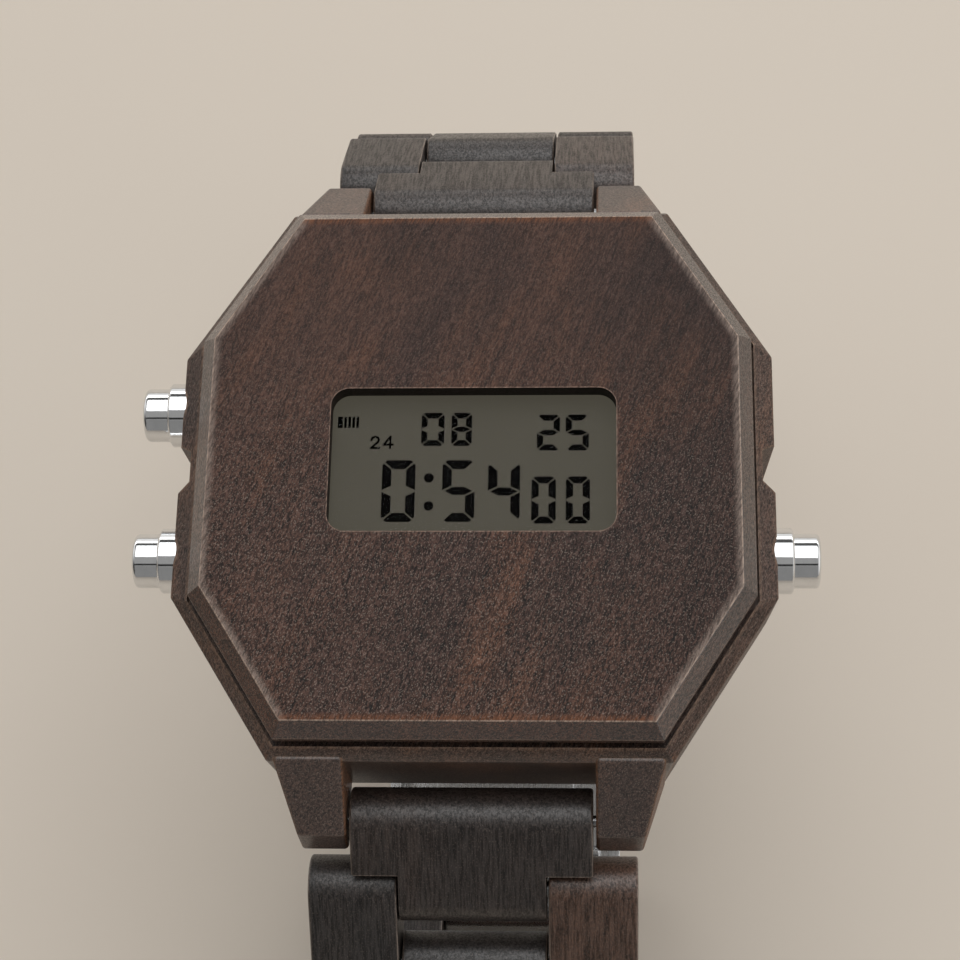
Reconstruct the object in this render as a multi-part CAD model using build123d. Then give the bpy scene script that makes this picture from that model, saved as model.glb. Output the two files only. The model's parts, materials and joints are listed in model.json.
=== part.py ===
from build123d import *
import math
import os

# Wooden digital wristwatch, its bracelet closed, standing on its clasp with the face up.
# Millimetres. X points to 3 o'clock, Y to 12 o'clock and Z out of the face.
# The origin is on the floor under the middle of the watch. A depth is measured down from the face.

# Face plate
FACE_HALF_X = 18.0
FACE_HALF_Y = 18.2
FACE_EDGE_X = 12.2  # half length of the top and bottom edges
FACE_EDGE_Y = 9.0  # half length of the left and right edges
BEVEL_OUT = 0.95
BEVEL_DROP = 1.2
GROOVE_HIGH = 0.4
GROOVE_IN = 0.45
GROOVE_DEEP = 0.6  # into the mid case
FACE_ROUND = 0.18

# Window, crystal and seal
WINDOW_X = 19.4
WINDOW_Y = 10.35
WINDOW_CORNER = 1.25
WINDOW_WALL = 1.3  # wood above the crystal
CRYSTAL_LIP = 1.6  # crystal hidden behind the wood, each side
CRYSTAL_THICK = 0.7
CRYSTAL_CLEAR = 0.05
SEAL_THICK = 0.25
SEAL_WIDTH = 1.1

# Display module, from the seal down to the case back
LCD_X = 23.6
LCD_Y = 15.4
LCD_THICK = 1.2
LCD_CLEAR = 0.1
FILM_THICK = 0.2
FRAME_FLOOR = 0.5
FRAME_RIM = 1.8
MODULE_CLEAR = 0.35
STRIP_WIDE = 1.4
STRIP_LENGTH = 19.0
STRIP_CLEAR = 0.1
BOARD_THICK = 0.8
CHIP_SIDE = 6.0
CHIP_HIGH = 0.6
CHIP_ROOM = 0.2
CONTACT_DIA = 8.0
CONTACT_THICK = 0.2
BATTERY_DIA = 20.0
BATTERY_THICK = 2.5
STRAP_WIDE = 5.0
STRAP_THICK = 0.3
STRAP_CLEAR = 0.3
STRAP_ROOM = 0.4
BUZZER_DIA = BATTERY_DIA
BUZZER_THICK = 0.2

# Mid case, measured out from the face outline
MID_OUT_X = 2.5
MID_OUT_Y = 1.9
MID_OUT_CORNER = 2.0
MID_TOP_OUT = 1.25
MID_LAND = 0.1  # mid case's rim outside the groove
MID_SLOPE_DROP = 1.0
MID_TUCK = 0.5  # the side walls draw in this much at the bottom
MID_ROUND = 0.3
SIDE_WALL = 5.0
END_WALL = 6.6
CORNER_WALL = 5.0
NICK_DEEP = 0.9
NICK_MOUTH = 3.5
NICK_FLOOR = 2.2
NICK_UP = 0.45  # towards 12 o'clock

# Case back, seal and screws
BACK_OUT = 0.9
BACK_THICK = 1.1
BACK_CHAMFER = 0.35
BACK_SEAL_GAP = 0.35
BACK_SEAL_WIDTH = 0.6
BACK_SEAL_THICK = 0.5
SCREW_IN = 0.95  # screw axis, in from the face outline's slanted edge
SCREW_DOWN = 5.1  # screw axis, in from the face outline's top or bottom edge
SCREW_DIA = 1.4
SCREW_HEAD_DIA = 2.4
SCREW_HEAD_HIGH = 0.6
SCREW_LENGTH = 3.6
SCREW_CLEAR = 0.02
SLOT_WIDE = 0.35
SLOT_DEEP = 0.3

# Push buttons
BUTTON_Y = 5.45
SLEEVE_WALL = 0.325
SLEEVE_PROUD = 1.15
SLEEVE_SHORT = 1.05  # sleeve's inner end, short of the inside of the case
SLEEVE_CLEAR = 0.02
SLEEVE_CHAMFER = 0.12
BORE_DEEP = 3.3
CAP_DIA = 3.75
CAP_LENGTH = 2.5
CAP_ENGAGED = 0.7  # cap inside the sleeve when not pressed
CAP_CLEAR = 0.05
CAP_ROUND = 0.3
STEM_DIA = 1.2
STEM_HEAD_DIA = 2.0
STEM_HEAD_THICK = 0.4
STEM_GAP = 0.05
SPRING_DIA = 2.4  # middle of the wire
SPRING_WIRE = 0.28
SPRING_TURNS = 4

# Lugs and their spring bars
BAR_OUT = 2.7  # bar, out from the mid case's end
BAR_UP = 0.95  # bar, above the mid case's underside
LUG_SIDE = 0.2  # end link to the lugs
LUG_ROOT_IN = 0.47  # lug's outside at its root, in from the mid case's corner
LUG_TAPER = 1.5
LUG_ROOT_DEPTH = 2.9
LUG_TIP_OUT = 1.45  # tip corner, out from the bar and above it
LUG_TIP_UP = 1.65
LUG_END_OUT = 1.95  # end corner, out from the bar and below it
LUG_END_DOWN = 0.6
LUG_HEEL_OUT = 0.7
LUG_ROUND = 0.3
BAR_DIA = 1.5
BAR_TIP_DIA = 0.8
BAR_TIP_LENGTH = 1.3
BAR_CLEAR = 0.05
BAR_END_GAP = 0.1

# Bracelet
LINK_THICK = 4.4
LINK_GAP = 0.3  # round the knuckles
LINK_EDGE = 0.38
LINK_SPACE = 1.6  # between the knuckles of neighbouring links
END_SPACE = 0.75  # between the two knuckles of an end link
END_SCOOP = 0.85  # end link's shoulders to the knuckles of the outer links
END_HALF = 8.1
CENTER_HALF = 4.95
LINK_SIDE = 0.15  # center link to the outer links
OUTER_WIDE = 6.0
PIN_DIA = 1.2
PIN_HOLD = 0.02
PIN_CLEAR = 0.05
PIN_SUNK = 0.35
SLOPES = [41, 43, 57, 73, 87, 99, 111, 124, 140, 158]  # degrees below level, from the lug down

# Clasp
COVER_HALF = 10.0
COVER_THICK = 0.9
COVER_WALL = 0.9
COVER_ROUND = 0.6
COVER_LIP = 0.65  # cover's walls above the inner blade
COVER_GAP = 0.75  # cover to the knuckles of the last link
KNUCKLE_LESS = 0.1  # clasp's knuckles, thinner than the links
BLADE_HALF = 6.0
BLADE_THICK = 0.8
BLADE_LIFT = 0.3  # middle blade above the cover
HINGE_DIA = 1.5
HINGE_LIFT = 0.15  # hinge above the cover
HINGE_PIN_DIA = 0.8
HINGE_SIDE = 0.2
HINGE_EAR = 2.0
SIX_HINGE_IN = 4.8  # hinge at the 6 o'clock end, in from the link's pivot
TWELVE_HINGE_IN = 5.2  # hinge at the 12 o'clock end, in from the link's pivot
BLADE_NOTCH = 0.45
INNER_HINGE_HALF = 3.4

LINK_R = LINK_THICK / 2
END_PITCH = LINK_THICK + END_SPACE
LINK_PITCH = LINK_THICK + LINK_SPACE
PITCHES = [END_PITCH] + [LINK_PITCH] * (len(SLOPES) - 1)

# Depths of the stack
FRONT_END = WINDOW_WALL + CRYSTAL_THICK + SEAL_THICK
FLOOR_TOP = FRONT_END + LCD_THICK + FILM_THICK
FRAME_END = FLOOR_TOP + FRAME_FLOOR + CHIP_ROOM + CHIP_HIGH
BOARD_END = FRAME_END + BOARD_THICK
BATTERY_TOP = BOARD_END + CONTACT_THICK
BATTERY_END = BATTERY_TOP + BATTERY_THICK
STRAP_END = BATTERY_END + STRAP_THICK
MID_END = STRAP_END + STRAP_ROOM + BUZZER_THICK
BACK_END = MID_END + BACK_THICK
BUTTON_DEPTH = FRAME_END + BOARD_THICK / 2

# Half sizes that follow from the ones above
MID_OUT = (MID_OUT_X, MID_OUT_Y, MID_OUT_CORNER)
MID_HALF_X = FACE_HALF_X + MID_OUT_X
MID_HALF_Y = FACE_HALF_Y + MID_OUT_Y
CAVITY_GROW = (MID_OUT_X - SIDE_WALL, MID_OUT_Y - END_WALL, MID_OUT_CORNER - CORNER_WALL)
MODULE_GROW = tuple(grow - MODULE_CLEAR for grow in CAVITY_GROW)
LUG_GAP_HALF = END_HALF + LUG_SIDE
OUTER_INSIDE = CENTER_HALF + LINK_SIDE
OUTER_OUTSIDE = OUTER_INSIDE + OUTER_WIDE

# Pivots of the 12 o'clock half of the bracelet, from the lug's bar to the clasp, and the face's height
BAR_Y = MID_HALF_Y + BAR_OUT
BAR_DEPTH = MID_END - BAR_UP
CHAIN_DROP = sum(p * math.sin(math.radians(s)) for p, s in zip(PITCHES, SLOPES))
FACE_Z = BAR_DEPTH + CHAIN_DROP + LINK_R
PIVOTS = [(BAR_Y, FACE_Z - BAR_DEPTH)]
for pitch, slope in zip(PITCHES, SLOPES):
    turn = math.radians(slope)
    y, z = PIVOTS[-1]
    PIVOTS.append((y + pitch * math.cos(turn), z - pitch * math.sin(turn)))
END_Y, END_Z = PIVOTS[-1]

os.makedirs("parts", exist_ok=True)


def save(name, *solids):
    shape = solids[0] if len(solids) == 1 else Compound(children=list(solids))
    export_step(shape, f"parts/{name}.step")


def height(depth):
    return FACE_Z - depth


def slant_x(y, grow):
    """Where the slanted edge of the face's outline, moved out by the given amount, is at a height y."""
    run_x = FACE_HALF_X - FACE_EDGE_X
    run_y = FACE_HALF_Y - FACE_EDGE_Y
    return FACE_EDGE_X + ((FACE_HALF_Y - y) * run_x + grow * math.hypot(run_x, run_y)) / run_y


def slant_y(x, grow):
    """The height of that slanted edge at a place x."""
    run_x = FACE_HALF_X - FACE_EDGE_X
    run_y = FACE_HALF_Y - FACE_EDGE_Y
    return FACE_EDGE_Y + ((FACE_HALF_X - x) * run_y + grow * math.hypot(run_x, run_y)) / run_x


def octagon(grow_x, grow_y, grow_corner):
    """The face's outline with its straight and slanted edges moved out by the given amounts."""
    half_x = FACE_HALF_X + grow_x
    half_y = FACE_HALF_Y + grow_y
    quarter = [(half_x, slant_y(half_x, grow_corner)), (slant_x(half_y, grow_corner), half_y)]
    left = [(-x, y) for x, y in reversed(quarter)]
    lower = [(-x, -y) for x, y in quarter + left]
    return make_face(Polyline(*quarter, *left, *lower, close=True))


def slab(sketch, top, bottom):
    """A flat outline made solid between two depths."""
    return Pos(0, 0, height(bottom)) * extrude(sketch, bottom - top)


def slope(upper, top, lower, bottom):
    """A ruled solid from one outline to another."""
    return loft([Pos(0, 0, height(top)) * upper, Pos(0, 0, height(bottom)) * lower], ruled=True)


def rod(x0, x1, y, z, dia):
    """A round bar along X."""
    bar = Cylinder(dia / 2, x1 - x0, align=(Align.CENTER, Align.CENTER, Align.MIN))
    return Pos(x0, y, z) * Rot(0, 90, 0) * bar


def bar(half, y, z, dia):
    return rod(-half, half, y, z, dia)


def block(x0, x1, y0, y1, z0, z1):
    box = Box(x1 - x0, y1 - y0, z1 - z0, align=(Align.MIN, Align.MIN, Align.MIN))
    return Pos(x0, y0, z0) * box


def both_ends(solid):
    return [solid, Rot(0, 0, 180) * solid]


def front_case():
    skirt_end = FRONT_END - GROOVE_HIGH
    rim = octagon(BEVEL_OUT, BEVEL_OUT, BEVEL_OUT)
    lip = BEVEL_OUT - GROOVE_IN
    plate = slope(octagon(0, 0, 0), 0, rim, BEVEL_DROP) + slab(rim, BEVEL_DROP, skirt_end)
    plate = fillet(plate.edges(), FACE_ROUND)
    plate += slab(octagon(lip, lip, lip), BEVEL_DROP, FRONT_END)
    plate -= slab(RectangleRounded(WINDOW_X, WINDOW_Y, WINDOW_CORNER), 0, FRONT_END)
    seat = crystal_outline(CRYSTAL_CLEAR)
    return plate - slab(seat, WINDOW_WALL, FRONT_END)


def crystal_outline(clear):
    grow = 2 * (CRYSTAL_LIP + clear)
    return RectangleRounded(WINDOW_X + grow, WINDOW_Y + grow, WINDOW_CORNER + CRYSTAL_LIP / 2)


def window_seal():
    outline = crystal_outline(0)
    hole_x = WINDOW_X + 2 * (CRYSTAL_LIP - SEAL_WIDTH)
    hole_y = WINDOW_Y + 2 * (CRYSTAL_LIP - SEAL_WIDTH)
    return slab(outline - RectangleRounded(hole_x, hole_y, WINDOW_CORNER), FRONT_END - SEAL_THICK, FRONT_END)


def strip_places():
    offset = (LCD_Y - STRIP_WIDE) / 2
    return [Pos(0, -offset, 0), Pos(0, offset, 0)]


def conductor_strips():
    strip = slab(Rectangle(STRIP_LENGTH, STRIP_WIDE), FRONT_END + LCD_THICK, FRAME_END)
    return [place * strip for place in strip_places()]


def module_frame():
    frame = slab(octagon(*MODULE_GROW), FRONT_END, FRAME_END)
    frame -= slab(Rectangle(LCD_X + 2 * LCD_CLEAR, LCD_Y + 2 * LCD_CLEAR), FRONT_END, FLOOR_TOP)
    hollow = octagon(*[grow - FRAME_RIM for grow in MODULE_GROW])
    frame -= slab(hollow, FLOOR_TOP + FRAME_FLOOR, FRAME_END)
    slot = Rectangle(STRIP_LENGTH + 2 * STRIP_CLEAR, STRIP_WIDE + 2 * STRIP_CLEAR)
    for place in strip_places():
        frame -= place * slab(slot, FLOOR_TOP, FRAME_END)
    return frame


def circuit_board():
    board = slab(octagon(*MODULE_GROW), FRAME_END, BOARD_END)
    board += slab(Rectangle(CHIP_SIDE, CHIP_SIDE), FRAME_END - CHIP_HIGH, FRAME_END)
    return board + slab(Circle(CONTACT_DIA / 2), BOARD_END, BATTERY_TOP)


def battery_strap():
    reach = BATTERY_DIA / 2 + STRAP_CLEAR
    outside = slab(Rectangle(2 * (reach + STRAP_THICK), STRAP_WIDE), BOARD_END, STRAP_END)
    return outside - slab(Rectangle(2 * reach, STRAP_WIDE), BOARD_END, BATTERY_END)


def lug():
    """One lug, at 12 o'clock on the right: a side profile cut to its plan."""
    root_y = MID_HALF_Y - END_WALL / 2
    root_half = slant_x(MID_HALF_Y, MID_OUT_CORNER) - LUG_ROOT_IN
    side = [
        (root_y, height(LUG_ROOT_DEPTH)),
        (MID_HALF_Y, height(LUG_ROOT_DEPTH)),
        (BAR_Y + LUG_TIP_OUT, height(BAR_DEPTH - LUG_TIP_UP)),
        (BAR_Y + LUG_END_OUT, height(BAR_DEPTH + LUG_END_DOWN)),
        (BAR_Y + LUG_HEEL_OUT, height(MID_END)),
        (root_y, height(MID_END)),
    ]
    plan = [
        (LUG_GAP_HALF, root_y),
        (root_half, root_y),
        (root_half, MID_HALF_Y),
        (root_half - LUG_TAPER, BAR_Y + LUG_END_OUT),
        (LUG_GAP_HALF, BAR_Y + LUG_END_OUT),
    ]
    profile = Plane.YZ * make_face(Polyline(*side, close=True))
    solid = extrude(profile, root_half) & extrude(make_face(Polyline(*plan, close=True)), FACE_Z)
    return fillet(solid.edges(), LUG_ROUND)


def nick():
    """The cutter for the nick in the right side of the mid case."""
    mouth = NICK_MOUTH / 2
    floor = NICK_FLOOR / 2
    inside = MID_HALF_X - NICK_DEEP
    outline = [(inside, -floor), (MID_HALF_X, -mouth), (MID_HALF_X, mouth), (inside, floor)]
    return Pos(0, NICK_UP, 0) * slab(make_face(Polyline(*outline, close=True)), 0, BACK_END)


def button_places():
    """The three buttons, made at the right and turned to their sides."""
    return {
        "lower_right": Pos(0, -BUTTON_Y, height(BUTTON_DEPTH)),
        "upper_left": Pos(0, BUTTON_Y, height(BUTTON_DEPTH)) * Rot(0, 0, 180),
        "lower_left": Pos(0, -BUTTON_Y, height(BUTTON_DEPTH)) * Rot(0, 0, 180),
    }


def screw_places():
    y = FACE_HALF_Y - SCREW_DOWN
    x = slant_x(y, -SCREW_IN)
    return [Pos(x * i, y * j, height(BACK_END)) for i in (-1, 1) for j in (-1, 1)]


def screw(clear):
    """A countersunk screw, its head's face at the origin and its point up."""
    head_r = SCREW_HEAD_DIA / 2 + clear
    shank_r = SCREW_DIA / 2 + clear
    head = Cone(head_r, shank_r, SCREW_HEAD_HIGH, align=(Align.CENTER, Align.CENTER, Align.MIN))
    return head + Cylinder(shank_r, SCREW_LENGTH + clear, align=(Align.CENTER, Align.CENTER, Align.MIN))


def back_seal_outline(grow):
    return octagon(*[cavity + grow for cavity in CAVITY_GROW])


def back_seal():
    ring = back_seal_outline(BACK_SEAL_GAP + BACK_SEAL_WIDTH) - back_seal_outline(BACK_SEAL_GAP)
    return slab(ring, MID_END - BACK_SEAL_THICK, MID_END)


def mid_case():
    shoulder = FRONT_END + MID_SLOPE_DROP
    wide = octagon(*MID_OUT)
    shell = slope(octagon(MID_TOP_OUT, MID_TOP_OUT, MID_TOP_OUT), FRONT_END, wide, shoulder)
    tucked = octagon(MID_OUT_X - MID_TUCK, MID_OUT_Y, MID_OUT_CORNER - MID_TUCK)
    shell += slope(wide, shoulder, tucked, MID_END)
    shell = fillet(shell.edges(), MID_ROUND)
    outside = MID_TOP_OUT - MID_LAND
    inside = BEVEL_OUT - GROOVE_IN
    groove = octagon(outside, outside, outside) - octagon(inside, inside, inside)
    shell -= slab(groove, FRONT_END, FRONT_END + GROOVE_DEEP)
    right = lug()
    for solid in (right, mirror(right, about=Plane.YZ)):
        for turned in both_ends(solid):
            shell += turned
    for knuckle in both_ends(bar(LUG_GAP_HALF, *PIVOTS[0], LINK_THICK + 2 * LINK_GAP)):
        shell -= knuckle
    for hole in both_ends(bar(END_HALF + BAR_TIP_LENGTH, *PIVOTS[0], BAR_TIP_DIA + 2 * BAR_CLEAR)):
        shell -= hole
    shell -= nick()
    shell -= mirror(nick(), about=Plane.YZ)
    shell -= slab(octagon(*CAVITY_GROW), FRONT_END, MID_END)
    shell -= back_seal()
    bore = rod(0, MID_HALF_X + MID_OUT_X, 0, 0, SLEEVE_DIA + 2 * SLEEVE_CLEAR)
    for place in button_places().values():
        shell -= place * bore
    for place in screw_places():
        shell -= place * screw(SCREW_CLEAR)
    return shell


def case_back():
    plate = slab(octagon(BACK_OUT, BACK_OUT, BACK_OUT), MID_END, BACK_END)
    plate = chamfer(plate.faces().sort_by(Axis.Z)[0].edges(), BACK_CHAMFER)
    for place in screw_places():
        plate -= place * screw(SCREW_CLEAR)
    return plate


def case_back_screw():
    driver_slot = Box(SCREW_HEAD_DIA, SLOT_WIDE, SLOT_DEEP * 2)
    return screw(0) - driver_slot


# Buttons, along X from the case's middle
SLEEVE_DIA = CAP_DIA + 2 * (CAP_CLEAR + SLEEVE_WALL)
SLEEVE_END = MID_HALF_X + SLEEVE_PROUD
SLEEVE_START = MID_HALF_X - SIDE_WALL + SLEEVE_SHORT
BORE_FLOOR = SLEEVE_END - BORE_DEEP
CAP_START = SLEEVE_END - CAP_ENGAGED
STEM_START = SLEEVE_START - STEM_GAP - STEM_HEAD_THICK


def button_sleeve():
    sleeve = rod(SLEEVE_START, SLEEVE_END, 0, 0, SLEEVE_DIA)
    rim = sleeve.edges().filter_by(GeomType.CIRCLE).sort_by(Axis.X)[-1]
    sleeve = chamfer(rim, SLEEVE_CHAMFER)
    sleeve -= rod(BORE_FLOOR, SLEEVE_END, 0, 0, CAP_DIA + 2 * CAP_CLEAR)
    return sleeve - rod(SLEEVE_START, BORE_FLOOR, 0, 0, STEM_DIA + 2 * CAP_CLEAR)


def button_pusher():
    cap = rod(CAP_START, CAP_START + CAP_LENGTH, 0, 0, CAP_DIA)
    rim = cap.edges().filter_by(GeomType.CIRCLE).sort_by(Axis.X)[-1]
    cap = fillet(rim, CAP_ROUND)
    stem = rod(STEM_START, CAP_START, 0, 0, STEM_DIA)
    return cap + stem + rod(STEM_START, STEM_START + STEM_HEAD_THICK, 0, 0, STEM_HEAD_DIA)


def button_spring():
    """A coil round the stem, from the sleeve's shoulder to the cap."""
    rise = CAP_START - BORE_FLOOR - SPRING_WIRE - 2 * STEM_GAP
    path = Helix(rise / SPRING_TURNS, rise, SPRING_DIA / 2)
    section = Plane(origin=path @ 0, z_dir=path % 0) * Circle(SPRING_WIRE / 2)
    coil = sweep(section, path, is_frenet=True)
    return Pos(BORE_FLOOR + SPRING_WIRE / 2 + STEM_GAP, 0, 0) * Rot(0, 90, 0) * coil


def link_plane(index):
    """The side plane of a link: its first pivot, its length along x and its outside along y."""
    y, z = PIVOTS[index]
    turn = math.radians(SLOPES[index])
    return Plane(origin=(0, y, z), x_dir=(0, math.cos(turn), -math.sin(turn)), z_dir=(1, 0, 0))


def link_body(index, x0, x1):
    """A rounded link from one pivot to the next, with its sharp edges broken."""
    length = PITCHES[index]
    side = link_plane(index) * Pos(length / 2, 0) * SlotCenterToCenter(length, LINK_THICK)
    solid = Pos(x0, 0, 0) * extrude(side, x1 - x0)
    return fillet(solid.faces().filter_by(Axis.X).edges(), LINK_EDGE)


def end_link():
    link = link_body(0, -END_HALF, END_HALF)
    scoop = rod(CENTER_HALF, END_HALF, *PIVOTS[1], LINK_THICK + 2 * END_SCOOP)
    link -= scoop
    link -= mirror(scoop, about=Plane.YZ)
    link -= bar(END_HALF, *PIVOTS[0], BAR_DIA + 2 * BAR_CLEAR)
    return link - bar(CENTER_HALF, *PIVOTS[1], PIN_DIA + 2 * PIN_CLEAR)


def is_last(index):
    return index == len(SLOPES) - 1


def outer_links(index):
    link = link_body(index, OUTER_INSIDE, OUTER_OUTSIDE)
    link -= rod(0, OUTER_OUTSIDE, *PIVOTS[index], PIN_DIA + 2 * PIN_HOLD)
    if is_last(index):
        tip = CENTER_HALF + BAR_TIP_LENGTH
        link -= rod(0, tip, *PIVOTS[index + 1], BAR_TIP_DIA + 2 * BAR_CLEAR)
    else:
        link -= rod(0, OUTER_OUTSIDE, *PIVOTS[index + 1], PIN_DIA + 2 * PIN_HOLD)
    return [link, mirror(link, about=Plane.YZ)]


def center_link(index):
    link = link_body(index, -CENTER_HALF, CENTER_HALF)
    for pivot in PIVOTS[index:index + 2]:
        link -= bar(CENTER_HALF, *pivot, PIN_DIA + 2 * PIN_CLEAR)
    return link


def link_pins(index):
    half = OUTER_OUTSIDE - PIN_SUNK
    pivots = PIVOTS[index:index + 1] if is_last(index) else PIVOTS[index:index + 2]
    return [bar(half, *pivot, PIN_DIA) for pivot in pivots]


def spring_bar(half, pivot):
    """A spring bar that fills a bore of the given half length and holds by its thin tips."""
    tips = bar(half + BAR_TIP_LENGTH - BAR_END_GAP, *pivot, BAR_TIP_DIA)
    return bar(half - BAR_END_GAP, *pivot, BAR_DIA) + tips


# Clasp: the cover lies on the floor, the middle blade on it and the inner blade on top
MIDDLE_Z = COVER_THICK + BLADE_LIFT
SIX_HINGE = (-END_Y + SIX_HINGE_IN, COVER_THICK + HINGE_LIFT + HINGE_DIA / 2)
INNER_Z = SIX_HINGE[1] + HINGE_DIA / 2 + HINGE_SIDE
TWELVE_HINGE = (END_Y - TWELVE_HINGE_IN, (MIDDLE_Z + INNER_Z + BLADE_THICK) / 2)
COVER_END = END_Y - LINK_R - COVER_GAP
COVER_HIGH = INNER_Z + BLADE_THICK + COVER_LIP
HINGE_REACH = HINGE_DIA / 2 + BLADE_NOTCH
KNUCKLE_DIA = LINK_THICK - KNUCKLE_LESS


def clasp_cover():
    six_end = SIX_HINGE[0] - HINGE_DIA / 2
    ear_in = BLADE_HALF + HINGE_SIDE
    plate = block(-COVER_HALF, COVER_HALF, six_end, COVER_END, 0, COVER_THICK)
    cover = fillet(plate.faces().sort_by(Axis.Z)[0].edges().filter_by(Axis.Y), COVER_ROUND)
    walls_from = SIX_HINGE[0] + HINGE_REACH
    for x in (-COVER_HALF, COVER_HALF - COVER_WALL):
        cover += block(x, x + COVER_WALL, walls_from, COVER_END, COVER_THICK, COVER_HIGH)
    for x in (-ear_in - HINGE_EAR, ear_in):
        cover += rod(x, x + HINGE_EAR, *SIX_HINGE, HINGE_DIA)
        cover += block(x, x + HINGE_EAR, six_end, six_end + HINGE_DIA, 0, SIX_HINGE[1])
    cover += block(-CENTER_HALF, CENTER_HALF, COVER_END, END_Y, 0, END_Z)
    cover += bar(CENTER_HALF, END_Y, END_Z, KNUCKLE_DIA)
    cover -= bar(CENTER_HALF, END_Y, END_Z, BAR_DIA + 2 * BAR_CLEAR)
    return cover - bar(ear_in + HINGE_EAR, *SIX_HINGE, HINGE_PIN_DIA + 2 * PIN_HOLD)


def clasp_middle_blade():
    blade = block(-BLADE_HALF, BLADE_HALF, SIX_HINGE[0], TWELVE_HINGE[0], MIDDLE_Z, MIDDLE_Z + BLADE_THICK)
    blade += bar(BLADE_HALF, *SIX_HINGE, HINGE_DIA)
    blade += bar(BLADE_HALF, *TWELVE_HINGE, HINGE_DIA)
    blade -= inner_hinge_room()
    blade -= bar(BLADE_HALF, *SIX_HINGE, HINGE_PIN_DIA + 2 * PIN_CLEAR)
    return blade - bar(BLADE_HALF, *TWELVE_HINGE, HINGE_PIN_DIA + 2 * PIN_HOLD)


def inner_hinge_room():
    """The notch in the middle blade for the inner blade's knuckle."""
    half = INNER_HINGE_HALF + HINGE_SIDE
    y = TWELVE_HINGE[0]
    return block(-half, half, y - HINGE_REACH, y + HINGE_REACH, 0, COVER_HIGH)


def clasp_inner_blade():
    top = INNER_Z + BLADE_THICK
    wide_from = SIX_HINGE[0]
    wide_to = TWELVE_HINGE[0] - HINGE_REACH
    blade = block(-BLADE_HALF, BLADE_HALF, wide_from, wide_to, INNER_Z, top)
    blade += block(-CENTER_HALF, CENTER_HALF, -END_Y, wide_from, INNER_Z, top)
    blade += block(-INNER_HINGE_HALF, INNER_HINGE_HALF, wide_to, TWELVE_HINGE[0], INNER_Z, top)
    blade += bar(INNER_HINGE_HALF, *TWELVE_HINGE, HINGE_DIA)
    blade += bar(CENTER_HALF, -END_Y, END_Z, KNUCKLE_DIA)
    blade -= bar(CENTER_HALF, -END_Y, END_Z, BAR_DIA + 2 * BAR_CLEAR)
    return blade - bar(INNER_HINGE_HALF, *TWELVE_HINGE, HINGE_PIN_DIA + 2 * PIN_CLEAR)


# Case and display
save("front_case", front_case())
save("mid_case", mid_case())
save("window_crystal", slab(crystal_outline(0), WINDOW_WALL, WINDOW_WALL + CRYSTAL_THICK))
save("window_seal", window_seal())
save("lcd_panel", slab(Rectangle(LCD_X, LCD_Y), FRONT_END, FRONT_END + LCD_THICK))
film = Rectangle(LCD_X, LCD_Y - 2 * (STRIP_WIDE + STRIP_CLEAR))
save("backlight_film", slab(film, FLOOR_TOP - FILM_THICK, FLOOR_TOP))
save("conductor_strips", *conductor_strips())
save("module_frame", module_frame())
save("circuit_board", circuit_board())
save("coin_battery", slab(Circle(BATTERY_DIA / 2), BATTERY_TOP, BATTERY_END))
save("battery_strap", battery_strap())
save("buzzer_disc", slab(Circle(BUZZER_DIA / 2), MID_END - BUZZER_THICK, MID_END))
save("case_back_seal", back_seal())
save("case_back", case_back())
save("case_back_screws", *[place * case_back_screw() for place in screw_places()])

# Buttons
save("button_sleeves", *[place * button_sleeve() for place in button_places().values()])
for name, place in button_places().items():
    save(f"button_{name}", place * button_pusher())
    save(f"button_spring_{name}", place * button_spring())

# Bracelet, each half from its lugs to the clasp
save("lug_spring_bars", *both_ends(spring_bar(END_HALF, PIVOTS[0])))
for half, turn in (("twelve", 0), ("six", 180)):
    place = Rot(0, 0, turn)
    save(f"end_link_{half}", place * end_link())
    for index in range(1, len(SLOPES)):
        number = (index + 1) // 2
        if index % 2:
            save(f"outer_links_{half}_{number}", *[place * link for link in outer_links(index)])
            save(f"link_pins_{half}_{number}", *[place * pin for pin in link_pins(index)])
        else:
            save(f"center_link_{half}_{number}", place * center_link(index))

# Clasp
save("clasp_cover", clasp_cover())
save("clasp_middle_blade", clasp_middle_blade())
save("clasp_inner_blade", clasp_inner_blade())
save("clasp_cover_spring_bar", spring_bar(CENTER_HALF, PIVOTS[-1]))
save("clasp_blade_spring_bar", bar(CENTER_HALF - BAR_END_GAP, -END_Y, END_Z, BAR_DIA))
save("clasp_cover_hinge_pin", bar(BLADE_HALF + HINGE_SIDE + HINGE_EAR, *SIX_HINGE, HINGE_PIN_DIA))
save("clasp_blade_hinge_pin", bar(BLADE_HALF, *TWELVE_HINGE, HINGE_PIN_DIA))
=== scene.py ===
"""Looks of a wooden digital wristwatch.

Dark stained wood, chrome buttons, a grey display and a steel clasp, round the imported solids.
"""
import json
import math

import bpy
from mathutils import Matrix, Vector


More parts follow.
